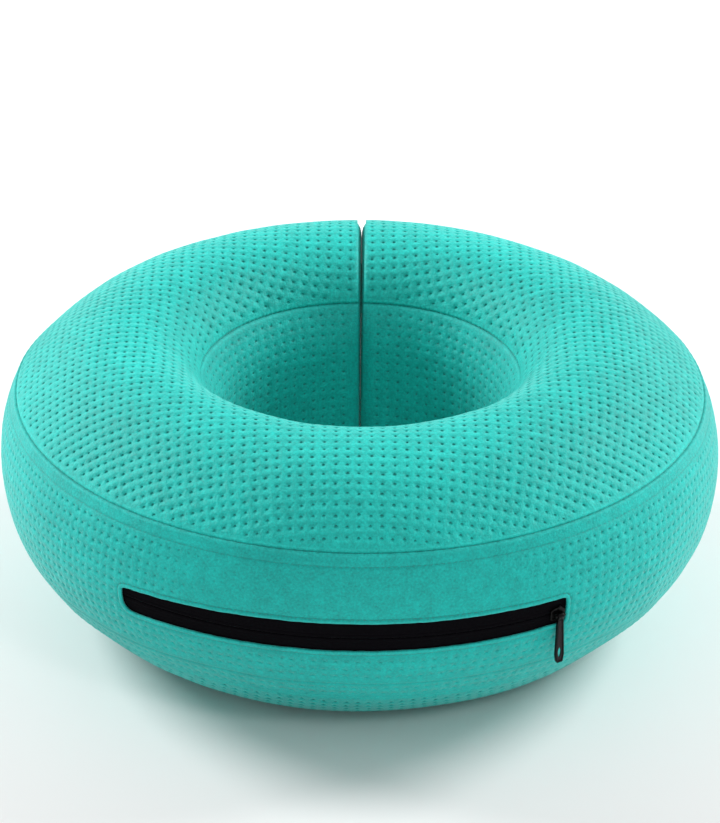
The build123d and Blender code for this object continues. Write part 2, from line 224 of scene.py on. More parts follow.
def section_profiles():
    """The four panels' profiles, with a shared normal at each seam."""
    crown = (CROWN_RADIUS, CROWN_Z)
    turn = CROWN_ARC[1]
    crown_end = (CROWN_RADIUS + CROWN_ARC[0] * math.sin(turn),
                 CROWN_Z - CROWN_ARC[0] * (1 - math.cos(turn)))
    top_seam, bottom_seam = band_point(TOP_SEAM_Z), band_point(BOTTOM_SEAM_Z)
    foot = (FOOT_RADII[0], 0.0)
    rise = FOOT_ARC[1]
    foot_end = (foot[0] + FOOT_ARC[0] * math.sin(rise), FOOT_ARC[0] * (1 - math.cos(rise)))
    low_seam, high_seam = (INNER_SEAM_RADIUS, LOW_SEAM_Z), (INNER_SEAM_RADIUS, HIGH_SEAM_Z)
    neck_low, neck_high = ((NECK_RADIUS, z) for z in NECK_WALL_Z)
    band_heading = math.atan2(OUTER_RADIUS - BAND_ARC - top_seam[0], top_seam[1] - EQUATOR_Z)
    profiles = {
        "top": Profile(arc(crown_end, -turn, top_seam)[::-1], arc(crown, 0, crown_end)[::-1],
                       arc(crown, math.pi, high_seam)),
        "side": Profile(arc(top_seam, band_heading, bottom_seam)),
        "bottom": Profile(arc(foot_end, rise, bottom_seam)[::-1], arc(foot, 0, foot_end)[::-1],
                          arc(foot, math.pi, (FOOT_RADII[1], 0.0)),
                          arc((FOOT_RADII[1], 0.0), math.pi, low_seam)),
        "neck": Profile(arc(neck_low, -math.pi / 2, low_seam)[::-1],
                        arc(neck_low, math.pi / 2, neck_high),
                        arc(neck_high, math.pi / 2, high_seam)),
    }
    seams = (("top", 0, "side", 0), ("side", -1, "bottom", 0), ("bottom", -1, "neck", 0),
             ("neck", -1, "top", -1))
    shared = unit_rows(np.array([profiles[one].normal[i] + profiles[two].normal[k]
                                 for one, i, two, k in seams]))
    for (one, i, two, k), mean in zip(seams, shared):
        profiles[one].ease_normal(i, mean)
        profiles[two].ease_normal(k, mean)
    return profiles


PROFILES = section_profiles()


def turned(radius, z, azimuth):
    """Points at a radius and height, turned to azimuths, as rows of x, y, z."""
    return np.column_stack((radius * np.sin(azimuth), -radius * np.cos(azimuth), z))


# ---- meshes

def make_object(name, points, faces, material, body="collar", slot=None):
    """Mesh object from points in millimetres, riding on a body."""
    mesh = bpy.data.meshes.new(name)
    mesh.from_pydata((np.asarray(points, float) * MM).tolist(), [], faces)
    mesh.validate()
    mesh.update()
    mesh.polygons.foreach_set("use_smooth", [True] * len(mesh.polygons))
    mesh.materials.append(material)
    obj = bpy.data.objects.new(name, mesh)
    bpy.context.scene.collection.objects.link(obj)
    if body:
        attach(obj, body)
    return obj


def fix_normals(obj):
    """Makes every face of a closed mesh look outwards."""
    work = bmesh.new()
    work.from_mesh(obj.data)
    bmesh.ops.recalc_face_normals(work, faces=work.faces)
    work.to_mesh(obj.data)
    work.free()
    obj.data.update()


def closed_object(name, points, faces, material, body="collar", slot=None, node=None):
    """Object whose closed mesh looks outwards, in place of a node of the frame."""
    obj = make_object(name, points, faces, material, body, slot)
    fix_normals(obj)
    if node:
        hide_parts(node)
    return obj


def point_attribute(obj, name, values):
    """Stores a value or a vector for each vertex, for the materials to read."""
    values = np.asarray(values, np.float32)
    kind, field = ("FLOAT", "value") if values.ndim == 1 else ("FLOAT_VECTOR", "vector")
    obj.data.attributes.new(name, kind, "POINT").data.foreach_set(field, values.ravel())


def store_cut(obj, flat):
    """Stores where each vertex lies on the flat cut, in metres."""
    point_attribute(obj, "cut", np.column_stack((flat * MM, np.zeros(len(flat)))))


def swept(rows, capped=True):
    """Points and faces of a tube through equal rows of points."""
    count, across = len(rows), len(rows[0])
    points = np.concatenate(rows)
    faces = []
    for i in range(count - 1):
        for j in range(across):
            k = (j + 1) % across
            faces.append((i * across + j, i * across + k, (i + 1) * across + k, (i + 1) * across + j))
    if capped:
        faces.append(tuple(range(across - 1, -1, -1)))
        faces.append(tuple(range((count - 1) * across, count * across)))
    return points, faces


def joined(parts):
    """Points and faces of many small meshes as one."""
    points, faces, start = [], [], 0
    for part, part_faces in parts:
        points.append(part)
        faces += [tuple(i + start for i in f) for f in part_faces]
        start += len(part)
    return np.concatenate(points), faces


# ---- fabric panels

class Cut:
    """A panel's flat cut: a ring whose radius falls with s, or a straight strip."""

    def __init__(self, profile, radius, fall):
        self.profile, self.radius, self.fall = profile, radius, fall

    def flat(self, azimuth, s):
        azimuth, s = np.broadcast_arrays(azimuth, s)
        if not self.fall:
            return self.radius * azimuth, -s
        reach = self.radius - self.fall * s
        return reach * np.sin(azimuth), -reach * np.cos(azimuth)

    def unflat(self, u, v):
        if not self.fall:
            return u / self.radius, -v
        return np.arctan2(u, -v), (self.radius - np.hypot(u, v)) / self.fall


class Layout:
    """Points of a flat cut, with their heights, before they are triangulated."""

    def __init__(self, cut):
        self.cut = cut
        self.flat, self.height, self.shade, self.edges = [], [], [], []

    def add(self, u, v, height=0.0, shade=0.0):
        self.flat.append((u, v))
        self.height.append(height)
        self.shade.append(shade)
        return len(self.flat) - 1

    def chain(self, indices, closed=False):
        self.edges += list(zip(indices, indices[1:]))
        if closed:
            self.edges.append((indices[-1], indices[0]))

    def outline(self, rows, columns, count, height, shade=lambda s: 0.0):
        """The panel's edge and the rows beside its seams. Returns the edge as a loop."""
        last = self.cut.profile.length
        columns = sorted(set(columns) | set(rows) | {0.0, last})
        ends = {}
        for side in (-1, 1):
            for s in columns:
                u, v = self.cut.flat(side * PANEL_END, s)
                ends[side, s] = self.add(float(u), float(v), height(s), shade(s))
            self.chain([ends[side, s] for s in columns])
        azimuths = np.linspace(-PANEL_END, PANEL_END, count + 1)[1:-1]
        lines = {}
        for s in sorted(set(rows) | {0.0, last}):
            u, v = self.cut.flat(azimuths, s)
            # Painted shade along the seam rows, broken into dashes at random
            inner = [self.add(a, b, height(s), shade(s) * RNG.choice((0.15, 0.7, 1.0)))
                     for a, b in zip(u.tolist(), v.tolist())]
            lines[s] = [ends[-1, s], *inner, ends[1, s]]
            self.chain(lines[s])
        right = [ends[1, s] for s in columns[1:-1]]
        left = [ends[-1, s] for s in reversed(columns[1:-1])]
        return lines[0.0] + right + lines[last][::-1] + left

    def triangles(self, inside):
        """Flat points, triangles inside the cut, and where each point went."""
        corners = [Vector(p) for p in self.flat]
        verts, _, faces, origins, _, _ = delaunay_2d_cdt(corners, self.edges, [], 0, 1e-5)
        flat = np.array([(v.x, v.y) for v in verts])
        faces = np.array(faces)
        keep = inside(*flat[faces].mean(axis=1).T)
        went = np.full(len(self.flat), -1)
        height, shade = np.zeros(len(flat)), np.zeros(len(flat))
        for new, olds in enumerate(origins):
            for old in olds:
                went[old] = new
                height[new], shade[new] = self.height[old], self.shade[old]
        return flat, faces[keep], went, height, shade


def bump(x, centre, width):
    """Smooth bump of height 1."""
    return np.exp(-((x - centre) / width) ** 2)


def drawn_in(pitch, drop, reach, limit):
    """Table of distances along a knit whose columns draw closer together away from the front."""
    out = [0.0]
    while out[-1] < limit + 3 * pitch:
        out.append(out[-1] + pitch * (1 - drop * min(1.0, (out[-1] / reach) ** 2)))
    return np.array([-d for d in out[:0:-1]] + out)


def pit_lattice(layout, pitch, allowed, strength, shear=0.0, draw=(0.0, 1.0)):
    """Rows of dimples over the cut, with a raised point between every four."""
    reach_u = max(abs(p[0]) for p in layout.flat)
    low_v, high_v = (f(p[1] for p in layout.flat) for f in (min, max))
    rows = range(int(low_v / pitch[1]) - 1, int(high_v / pitch[1]) + 2)
    table = drawn_in(pitch[0], *draw, reach_u)
    count = len(table) // 2
    half_step = np.array((table[count + 1] / 2, pitch[1] / 2))
    places = np.arange(-count, count + 1)
    grid = np.array([(u, j * pitch[1]) for j in rows
                     for u in np.interp(places + j * shear / pitch[0], places, table)])
    pits = grid[allowed(*grid.T, 1.75)]
    rim = [(PIT[0] * r * math.cos(k * math.pi / 4), PIT[1] * r * math.sin(k * math.pi / 4))
           for k, r in enumerate(PIT_RIM)]
    for (u, v), most in zip(pits.tolist(), strength(*pits.T).tolist()):
        u += RNG.uniform(-PIT_JITTER, PIT_JITTER)
        v += RNG.uniform(-PIT_JITTER, PIT_JITTER)
        size = RNG.uniform(0.78, 1.12)
        deep = most * PIT_DEPTH * RNG.uniform(0.6, 1.1)
        # Each ring's tone is painted shade in the pit, darker on its upper wall, with a painted
        # highlight on its lower wall; the floor point gets painted shade too
        for part, down, up, tone, slope in PIT_RINGS:
            ring = [layout.add(u + size * part * a, v + size * (part * b + up), -deep * down,
                               most * (tone + slope * b / PIT[1])) for a, b in rim]
            if down == 0:
                layout.chain(ring, closed=True)
        layout.add(u, v + 0.2 * size, -deep, 0.4 * most)
    between = grid + half_step
    for u, v in between[allowed(*between.T, 0.9)].tolist():
        layout.add(u, v, RAISED)


def ripple(points):
    """Slow unevenness of the stuffed fabric, in millimetres, at points of the cover."""
    slow = [noise.noise(Vector((x / 62, y / 62, z / 44))) for x, y, z in points]
    fine = [noise.noise(Vector((x / 19 + 7, y / 19, z / 19))) for x, y, z in points]
    return 0.8 * np.array(slow) + 0.28 * np.array(fine)


def shell(name, node, cut, layers, loops, material, slot, lift):
    """Closed panel: an embossed outer face, a plain inner face, and the strips joining them."""
    points, faces, shades, flats, places, start = [], [], [], [], [], 0
    for layout, keep, depth in layers:
        flat, tris, went, height, shade = layout.triangles(keep)
        azimuth, s = cut.unflat(*flat.T)
        s = np.clip(s, 0, cut.profile.length)
        base = turned(*cut.profile.at(s), azimuth)
        height = height + depth + lift(azimuth, s, base)
        points.append(turned(*cut.profile.at(s, height), azimuth))
        faces += ((tris[:, ::-1] if start else tris) + start).tolist()
        shades.append(shade)
        flats.append(flat)
        places.append(went + start)
        start += len(flat)
    for one, two, middle in loops:
        chain = [places[0][one], places[1][two]]
        if middle is not None:
            chain.insert(1, np.arange(len(middle)) + start)
            start += len(middle)
            points.append(middle)
            # Painted shade on the strip inside the opening's turned edge
            shades.append(np.full(len(middle), 0.4))
            flats.append(np.zeros((len(middle), 2)))
        for a, b in zip(chain, chain[1:]):
            faces += np.column_stack((a, b, np.roll(b, -1), np.roll(a, -1))).tolist()
    obj = closed_object(name, np.concatenate(points), faces, material, slot=slot, node=node)
    # This attribute carries painted shade where positive and a painted highlight where negative
    point_attribute(obj, "painted_light", np.concatenate(shades))
    store_cut(obj, np.concatenate(flats))


def seam_rows(length):
    """Distances of the rows of points beside both seams."""
    return sorted({*SEAM_ROWS, *(round(length - s, 4) for s in SEAM_ROWS if s)} | {length})


def seam_pucker(azimuth, s, length):
    """Small gathers, 6.3 mm apart, along both seams of a panel."""
    wave = np.sin(azimuth * 190 * 2 * math.pi / 6.3 + 1.7 * np.sin(azimuth * 23))
    return 0.16 * wave * (np.exp(-s / 2.6) + np.exp(-(length - s) / 2.6))


def sewn_panel(name, node, key, radius, fall, count, edge, material, slot, pitch=(5.6, 5.45),
               grooves=(), window=None, strength=lambda u, v: np.ones(len(u)), shear=0.0,
               draw=(0.0, 1.0)):
    """A sewn panel of the cover with its pits. Returns a function for points over its surface."""
    profile = PROFILES[key]
    cut = Cut(profile, radius, fall)
    length = profile.length
    rows = seam_rows(length) + [g + d for g in grooves for d in GROOVE_ROWS]
    columns = [length * k / 28 for k in range(1, 28)]

    def height(s):
        return edge(s, length) + sum(
            -0.34 * bump(s, g, 0.5) + 0.1 * (bump(s, g - 1.7, 0.8) + bump(s, g + 1.7, 0.8))
            for g in grooves)

    def shade(s):
        """Painted shade in the seams and under the stitching, with a painted highlight on the ridge
        beside each seam.
        """
        held = math.exp(-s / 0.6) + math.exp(-(length - s) / 0.6)
        # A negative term paints a highlight on the ridge beside each seam
        ridge_highlight = 0.7 * (float(bump(s, 1.5, 0.6)) + float(bump(length - s, 1.5, 0.6)))
        return min(1.0, 0.62 * held - ridge_highlight + sum(0.36 * float(bump(s, g, 0.5)) for g in grooves))

    outer, inner = Layout(cut), Layout(cut)
    loops = [(outer.outline(rows, columns, count, height, shade),
              inner.outline([0.0, length], columns + rows, count, lambda s: -0.4), None)]
    if window:
        loops.append(window.into(outer, inner))
    for azimuth in np.linspace(-0.985, 0.985, 120) * PANEL_END:
        for s in np.linspace(0, length, 9)[1:-1]:
            u, v = cut.flat(azimuth, s)
            if window is None or window.distance(u, v)[0] > 4:
                inner.add(float(u), float(v))

    def allowed(u, v, margin):
        """Whether pits fit, clear of the seams, the stitching and the opening by a margin."""
        azimuth, s = cut.unflat(u, v)
        fits = (s > margin + 0.75) & (s < length - margin - 0.75)
        fits &= (PANEL_END - np.abs(azimuth)) * profile.at(s)[0] > margin + 0.8
        for g in grooves:
            fits &= np.abs(s - g) > margin + 0.25
        return fits & (window.distance(u, v) > margin + 3.6) if window else fits

    pit_lattice(outer, pitch, allowed, strength, shear, draw)

    def inside(u, v, offset):
        azimuth, s = cut.unflat(u, v)
        held = (s > 0) & (s < length) & (np.abs(azimuth) < PANEL_END)
        return held & ~window.holds(u, v, offset) if window else held

    def lift(azimuth, s, base):
        """How far the stuffed fabric swells, with less at the foot and beside the opening."""
        calm = np.clip(base[:, 2] / 12, 0, 1)
        crease = 0.0
        if window:
            near = window.distance(*cut.flat(azimuth, s))
            calm = np.clip((near - 3) / 14, 0, 1) * calm
            crease = pull_crease(azimuth, base[:, 2]) * np.clip((near - 2) / 3, 0, 1)
        swell = (ripple(base) + relaxed(key, azimuth, s)) * calm + crease
        return swell + seam_pucker(azimuth, s, length)

    layers = ((outer, lambda u, v: inside(u, v, 0.0), 0.0),
              (inner, lambda u, v: inside(u, v, 1.0), -FABRIC))
    shell(name, node, cut, layers, loops, material, slot, lift)

    def surface(azimuth, s, proud):
        """Points over the panel's finished surface, without its pits and grooves."""
        azimuth, s, proud = (np.asarray(a, float) for a in np.broadcast_arrays(azimuth, s, proud))
        base = turned(*profile.at(s), azimuth)
        return turned(*profile.at(s, proud + lift(azimuth, s, base)), azimuth)

    return surface


class Window:
    """The zipper's opening in the strip that the side band is cut from."""

    def __init__(self, cut):
        self.cut = cut
        centre = -cut.profile.s_at_z(ZIP_WINDOW_Z)
        along = np.linspace(*(cut.radius * a for a in ZIP_ENDS), 150)
        half = ZIP_HALF_HEIGHT - 1.0 * (along / (cut.radius * math.radians(35))) ** 2
        lean = -2.0 * np.clip(-(along + 20) / 109, 0, 1) ** 2
        top = np.column_stack((along, centre + lean + half + 0.8 * (half / ZIP_HALF_HEIGHT) ** 3))
        bottom = np.column_stack((along, centre + lean - half))[::-1]
        line = np.array(self._rounded(top, 1, 2.4, 1.4) + self._rounded(bottom, -1, 1.4, 6.5))
        where, points = round_loop(line, 0.95)
        line = points(where)
        ahead = np.roll(line, -1, axis=0) - np.roll(line, 1, axis=0)
        self.normal = unit_rows(np.column_stack((-ahead[:, 1], ahead[:, 0])))
        uneven = [0.22 * noise.noise(Vector((d / 3.4, 0.5, 0.5)))
                  + 0.16 * noise.noise(Vector((d / 11, 4.5, 0.5))) for d in where]
        self.line = line + self.normal * np.array(uneven)[:, None]

    @staticmethod
    def _rounded(side, sign, first, last):
        """One long side of the opening, with the rounded corners at its two ends."""
        (x, y), (end_x, end_y) = side[0], side[-1]
        turns = np.linspace(0, math.pi / 2, 7)[1:-1]
        keep = (np.abs(side[:, 0] - x) > first) & (np.abs(side[:, 0] - end_x) > last)
        begin = [[x + sign * first * (1 - math.cos(t)), y - sign * first * (1 - math.sin(t))]
                 for t in turns]
        end = [[end_x - sign * last * (1 - math.sin(t)), end_y - sign * last * (1 - math.cos(t))]
               for t in turns]
        return begin + side[keep].tolist() + end

    def offset(self, distance):
        return self.line + self.normal * distance

    @staticmethod
    def _near(u, v, line, margin=0.0):
        """Which points lie in a line's box, grown by a margin, in parts that fit in memory."""
        low, high = line.min(axis=0) - margin, line.max(axis=0) + margin
        near = np.nonzero((u > low[0]) & (u < high[0]) & (v > low[1]) & (v < high[1]))[0]
        return np.array_split(near, max(1, len(near) // 4000))

    def distance(self, u, v):
        """Distance from the opening's edge, on either side of it, up to 60 mm."""
        u, v = np.atleast_1d(u), np.atleast_1d(v)
        out = np.full(len(u), 60.0)
        for part in self._near(u, v, self.line, 25):
            gap = np.hypot(u[part, None] - self.line[:, 0], v[part, None] - self.line[:, 1])
            out[part] = gap.min(axis=1)
        return out

    def holds(self, u, v, offset):
        """Whether points lie inside the opening, grown by an offset."""
        a = self.offset(offset)
        b = np.roll(a, -1, axis=0)
        held = np.zeros(len(u), bool)
        for part in self._near(u, v, a):
            x, y = u[part, None], v[part, None]
            straddles = (a[:, 1] > y) != (b[:, 1] > y)
            slope = (b[:, 0] - a[:, 0]) / np.where(b[:, 1] == a[:, 1], 1, b[:, 1] - a[:, 1])
            crosses = straddles & (x < a[:, 0] + slope * (y - a[:, 1]))
            held[part] = crosses.sum(axis=1) % 2 == 1
        return held

    def into(self, outer, inner):
        """Adds the turned, stitched edge round the opening. Returns the loop that closes it."""
        # Rows with a negative tone paint a highlight on the turned lip; the stitch row and the cut edge
        # get painted shade
        for away, height, tone in HEM_ROWS:
            ring = [outer.add(*p, height + RNG.uniform(-0.06, 0.06), tone * RNG.uniform(0.3, 1.0))
                    for p in self.offset(away).tolist()]
            outer.chain(ring, closed=True)
        edge = [outer.add(*p, -0.45, 0.3) for p in self.line.tolist()]
        outer.chain(edge, closed=True)
        hidden = [inner.add(*p, -0.25) for p in self.offset(1.0).tolist()]
        inner.chain(hidden, closed=True)
        azimuth, s = self.cut.unflat(*self.offset(0.25).T)
        return edge, hidden, turned(*self.cut.profile.at(s, -1.15), azimuth)


# ---- materials

class Nodes:
    """Short names for building a material's nodes."""

    def __init__(self, name, colour, roughness, **values):
        self.material = bpy.data.materials.new(name)
        self.material.use_nodes = True
        self.tree = self.material.node_tree
        self.shader = self.tree.nodes["Principled BSDF"]
        self.shader.inputs["Base Color"].default_value = (*colour, 1)
        self.shader.inputs["Roughness"].default_value = roughness
        for key, value in values.items():
            self.shader.inputs[key.replace("_", " ")].default_value = value

    def node(self, kind, inputs=(), **settings):
        made = self.tree.nodes.new(kind)
        for key, value in settings.items():
            setattr(made, key, value)
        for key, value in dict(inputs).items():
            if isinstance(value, bpy.types.NodeSocket):
                self.tree.links.new(value, made.inputs[key])
            else:
                made.inputs[key].default_value = value
        return made

    def attribute(self, name):
        return self.node("ShaderNodeAttribute", attribute_name=name)

    def where(self, source="Object"):
        return self.node("ShaderNodeTexCoord").outputs[source]

    def noise(self, vector, scale, detail=3.0, roughness=0.5):
        made = self.node("ShaderNodeTexNoise",
                         {"Vector": vector, "Scale": scale, "Detail": detail, "Roughness": roughness})
        return made.outputs["Fac"]

    def math(self, operation, a, b=0.0, clamp=False):
        return self.node("ShaderNodeMath", {0: a, 1: b}, operation=operation,
                         use_clamp=clamp).outputs[0]

    def ramp(self, value, low, high, new_low=0.0, new_high=1.0):
        made = self.node("ShaderNodeMapRange", {"Value": value, "From Min": low, "From Max": high,
                                                "To Min": new_low, "To Max": new_high})
        return made.outputs["Result"]

    def mix(self, factor, one, two):
        made = self.node("ShaderNodeMix", data_type="RGBA")
        for key, value in (("Factor", factor), (6, one), (7, two)):
            socket = made.inputs[key]
            if isinstance(value, bpy.types.NodeSocket):
                self.tree.links.new(value, socket)
            else:
                socket.default_value = (*value, 1) if isinstance(value, tuple) else value
        return made.outputs[2]

    def colour(self, socket):
        self.tree.links.new(socket, self.shader.inputs["Base Color"])

    def roughness(self, socket):
        self.tree.links.new(socket, self.shader.inputs["Roughness"])

    def bump(self, height, distance, strength=1.0):
        made = self.node("ShaderNodeBump", {"Height": height, "Distance": distance,
                                            "Strength": strength})
        self.tree.links.new(made.outputs["Normal"], self.shader.inputs["Normal"])


def toned(colour, by, add=0.0):
    return tuple(min(1.0, by * c + add) for c in colour)


def knit_fabric(name, colour, dark, light):
    """Embossed polyester knit: fine loops, a soft sheen, painted shade in the pits and seams, and
    painted highlights on the ridges and the lower walls of the pits.
    """
    n = Nodes(name, colour, 0.6, Sheen_Weight=0.36, Sheen_Roughness=0.35, Specular_IOR_Level=0.3)
    n.shader.inputs["Sheen Tint"].default_value = (*light, 1)
    cut = n.attribute("cut").outputs["Vector"]
    mottle = n.math("ADD", n.math("MULTIPLY", n.noise(cut, 130.0, 4.0, 0.6), 0.35),
                    n.math("MULTIPLY", n.noise(cut, 760.0, 3.0, 0.75), 0.65))
    broad = n.noise(n.where(), 9.0, 2.0)
    tone = n.math("ADD", n.ramp(mottle, 0.36, 0.64, 0.0, 0.75), n.ramp(broad, 0.35, 0.65, 0.0, 0.25))
    base = n.mix(tone, toned(colour, 0.64), toned(colour, 1.34))
    # Positive values paint shade towards the dark colour; negative values paint a highlight lighter
    # than the knit
    painted_light = n.attribute("painted_light").outputs["Fac"]
    lit = n.math("MULTIPLY", painted_light, -0.55, clamp=True)
    base = n.mix(lit, base, toned(colour, 1.5, 0.03))
    n.colour(n.mix(n.math("MULTIPLY", painted_light, 0.85, clamp=True), base, dark))
    loops = n.node("ShaderNodeTexVoronoi", {"Vector": cut, "Scale": 1500.0, "Randomness": 0.55})
    fine = n.noise(cut, 900.0, 3.0, 0.6)
    crinkle = n.math("MULTIPLY", n.noise(cut, 420.0, 3.0, 0.6), 1.6)
    relief = n.math("ADD", n.math("MULTIPLY", loops.outputs["Distance"], 0.6),
                    n.math("ADD", fine, crinkle))
    n.bump(relief, 0.00035, 0.7)
    n.roughness(n.ramp(mottle, 0.3, 0.7, 0.52, 0.7))
    return n.material


def thread(name, colour):
    """Twisted sewing thread."""
    n = Nodes(name, colour, 0.6, Sheen_Weight=0.2)
    where = n.where()
    n.colour(n.mix(n.noise(where, 1400.0), toned(colour, 0.7), colour))
    n.bump(n.noise(where, 3000.0), 0.0001, 0.6)
    return n.material


def woven(name, colour, scale, roughness=0.75, depth=0.00012, sheen=0.1, gloss=0.25):
    """Plain or ribbed weave: two crossed sets of fine ribs."""
    n = Nodes(name, colour, roughness, Sheen_Weight=sheen, Sheen_Roughness=0.4,
              Specular_IOR_Level=gloss)
    where = n.where()
    checks = n.node("ShaderNodeTexVoronoi", {"Vector": where, "Scale": scale, "Randomness": 0.15})
    ribs = checks.outputs["Distance"]
    fuzz = n.noise(where, scale * 0.8, 3.0, 0.65)
    tone = n.math("ADD", n.ramp(ribs, 0.0, 0.7, 0.0, 0.6), n.ramp(fuzz, 0.3, 0.7, 0.0, 0.5))
    n.colour(n.mix(tone, tuple(1.5 * c for c in colour), toned(colour, 0.55)))
    n.bump(n.math("ADD", ribs, n.math("MULTIPLY", fuzz, 0.5)), depth, 0.8)
    n.roughness(n.ramp(fuzz, 0.3, 0.7, roughness - 0.08, roughness + 0.1))
    return n.material


def moulded(name, colour, roughness, coat=0.0, gloss=0.4, transmission=0.0, grain=600.0):
    """Moulded plastic or enamelled metal with slight unevenness and rubbed spots."""
    n = Nodes(name, colour, roughness, Coat_Weight=coat, Coat_Roughness=0.12,
              Specular_IOR_Level=gloss, Transmission_Weight=transmission)
    where = n.where()
    spots = n.noise(where, grain, 4.0, 0.6)
    n.colour(n.mix(n.ramp(spots, 0.4, 0.75), colour, toned(colour, 1.35, 0.004)))
    n.roughness(n.ramp(n.noise(where, grain / 4), 0.3, 0.7, roughness * 0.85, roughness * 1.25))
    n.bump(spots, 0.00003, 0.35)
    return n.material


TEAL = (0.006, 0.50, 0.445)
# The side, bottom, neck and end panels get a darker copy of the same teal knit: painted shade
TEAL_SHADED = (0.0046, 0.455, 0.41)
M_TOP = knit_fabric("cover_top_knit", TEAL, (0.004, 0.16, 0.145), (0.55, 0.95, 0.9))
M_SIDE = knit_fabric("cover_side_knit_shaded", TEAL_SHADED, (0.004, 0.15, 0.135), (0.55, 0.95, 0.9))
M_THREAD = thread("teal_thread", (0.010, 0.33, 0.29))
M_TAPE = woven("zipper_tape_weave", (0.0024, 0.0020, 0.0032), 1700.0, 0.85, sheen=0.0, gloss=0.05)
M_COIL = moulded("coil_nylon", (0.014, 0.014, 0.015), 0.4)
M_METAL = moulded("black_enamel", (0.0012, 0.0011, 0.0013), 0.24, coat=0.06, gloss=0.12)
M_PULL_FACE = moulded("pull_recess", (0.026, 0.021, 0.024), 0.5, gloss=0.1)
M_WEBBING = woven("strap_weave", (0.006, 0.006, 0.0068), 1100.0, 0.7, 0.0002, gloss=0.15)
M_BLACK_THREAD = thread("black_thread", (0.03, 0.03, 0.032))
M_RING = moulded("ring_enamel", (0.018, 0.018, 0.018), 0.33, coat=0.2)
M_LOOP = woven("loop_pile_fuzz", (0.020, 0.020, 0.022), 2600.0, 0.9, 0.0003, sheen=0.4)
M_HOOK = moulded("hook_moulding", (0.020, 0.020, 0.022), 0.4)
M_LABEL = woven("label_weave", (0.80, 0.80, 0.78), 2400.0, 0.5, 0.00008)
M_FILM = moulded("bladder_film", (0.72, 0.80, 0.83), 0.22, transmission=0.35, grain=90.0)
M_VALVE = moulded("valve_vinyl", (0.80, 0.83, 0.83), 0.3, transmission=0.15)


# ---- cover

SIM_COLUMNS = 330
SIM_ROWS = {"top": 24, "side": 24, "bottom": 17, "neck": 17}
SIM_LIMIT = 2.2
SIM_FRAMES = 20
CLOTH = {"quality": 4, "mass": 0.2, "tension_stiffness": 14, "compression_stiffness": 14,
         "shear_stiffness": 5, "bending_stiffness": 0.3, "use_pressure": True,
         "uniform_pressure_force": 1.6, "vertex_group_mass": "held", "vertex_group_shrink": "spare",
         "shrink_min": 0.0, "shrink_max": -0.07}


def simulated_cover():
    """Inflates a coarse cover whose panels are cut a little full beside their seams.

    Returns, for each panel, how far the cloth stands proud of its even shape, by azimuth and s.
    """
    azimuths = np.linspace(-PANEL_END, PANEL_END, SIM_COLUMNS)
    section, normals, seam_gap = [], [], []
    for key, forward in PANEL_ORDER:
        profile = PROFILES[key]
        s = np.linspace(0, profile.length, SIM_ROWS[key] + 1)
        s = s[:-1] if forward else s[:0:-1]
        flush, proud = (np.column_stack(profile.at(s, h)) for h in (0.0, 1.0))
        section.append(flush)
        normals.append(proud - flush)
        seam_gap.append(np.minimum(s, profile.length - s))
    section, normals, seam_gap = (np.concatenate(a) for a in (section, normals, seam_gap))
    across = len(section)
    points, faces = swept([turned(*section.T, a) for a in azimuths], capped=False)
    obj = closed_object("cover_cloth", points, faces, M_SIDE, body=None)

    held, spare = (obj.vertex_groups.new(name=name) for name in ("held", "spare"))
    for index, (x, y, z) in enumerate(points):
        column, row = divmod(index, across)
        if seam_gap[row] < 0.01 or column in (0, SIM_COLUMNS - 1) or z < 1.5:
            held.add([index], 1.0, "REPLACE")
        patch = 0.5 + noise.noise(Vector((x / 34, y / 34, z / 60 + row * 0.01)))
        fullness = max(0.0, min(1.0, patch)) * math.exp(-(seam_gap[row] / 17) ** 2)
        spare.add([index], fullness, "REPLACE")

    cloth = obj.modifiers.new("cloth", "CLOTH")
    for key, value in CLOTH.items():
        setattr(cloth.settings, key, value)
    cloth.settings.effector_weights.gravity = 0
    cloth.point_cache.frame_start = 1
    cloth.point_cache.frame_end = SIM_FRAMES
    scene = bpy.context.scene
    for step in range(1, SIM_FRAMES + 1):
        scene.frame_set(step)
    shaped = obj.evaluated_get(bpy.context.evaluated_depsgraph_get()).to_mesh()
    moved = np.empty(3 * len(shaped.vertices))
    shaped.vertices.foreach_get("co", moved)
    moved = moved.reshape(-1, 3) / MM - points
    scene.frame_set(1)
    bpy.data.objects.remove(obj)

    outward = np.concatenate([turned(*normals.T, a) for a in azimuths])
    proud = (moved * outward).sum(axis=1).reshape(SIM_COLUMNS, across)
    proud -= proud.mean(axis=0)
    proud = SIM_LIMIT * np.tanh(proud / SIM_LIMIT)
    grids, row = {}, 0
    for key, forward in PANEL_ORDER:
        columns = [(row + k) % across for k in range(SIM_ROWS[key] + 1)]
        grids[key] = proud[:, columns if forward else columns[::-1]]
        row += SIM_ROWS[key]
    return grids


SIMULATED = simulated_cover()


def strap_calm(azimuth, s, key):
    """Flattens the cover where the strap and the valve lie against it."""
    calm = np.ones(np.shape(azimuth))
    if key != "side":
        return calm
    z = np.interp(s, PROFILES["side"].s, PROFILES["side"].points[:, 1])
    for centre, wide, middle, high in ((180.0, 36.0, EQUATOR_Z, 20.0), (-8.0, 9.0, 100.0, 12.0)):
        turn = np.degrees(np.abs((azimuth - math.radians(centre) + math.pi) % (2 * math.pi) - math.pi))
        away = np.maximum((turn - wide) * 3.3, np.abs(z - middle) - high)
        calm = calm * np.clip(away / 12, 0, 1)
    return calm


def pull_crease(azimuth, z):
    """Fold that the slider draws in the band, down and away from its end of the zipper."""
    start, end = np.array((103.0, 70.5)), np.array((91.0, 56.0))
    line = end - start
    across = azimuth * OUTER_RADIUS - start[0]
    along = (across * line[0] + (z - start[1]) * line[1]) / (line @ line)
    aside = (across * line[1] - (z - start[1]) * line[0]) / np.hypot(*line)
    fade = np.exp(-((along - 0.35) / 0.5) ** 2)
    return fade * (0.45 * bump(aside, -2.6, 1.9) - 1.0 * bump(aside, 0.6, 2.2))


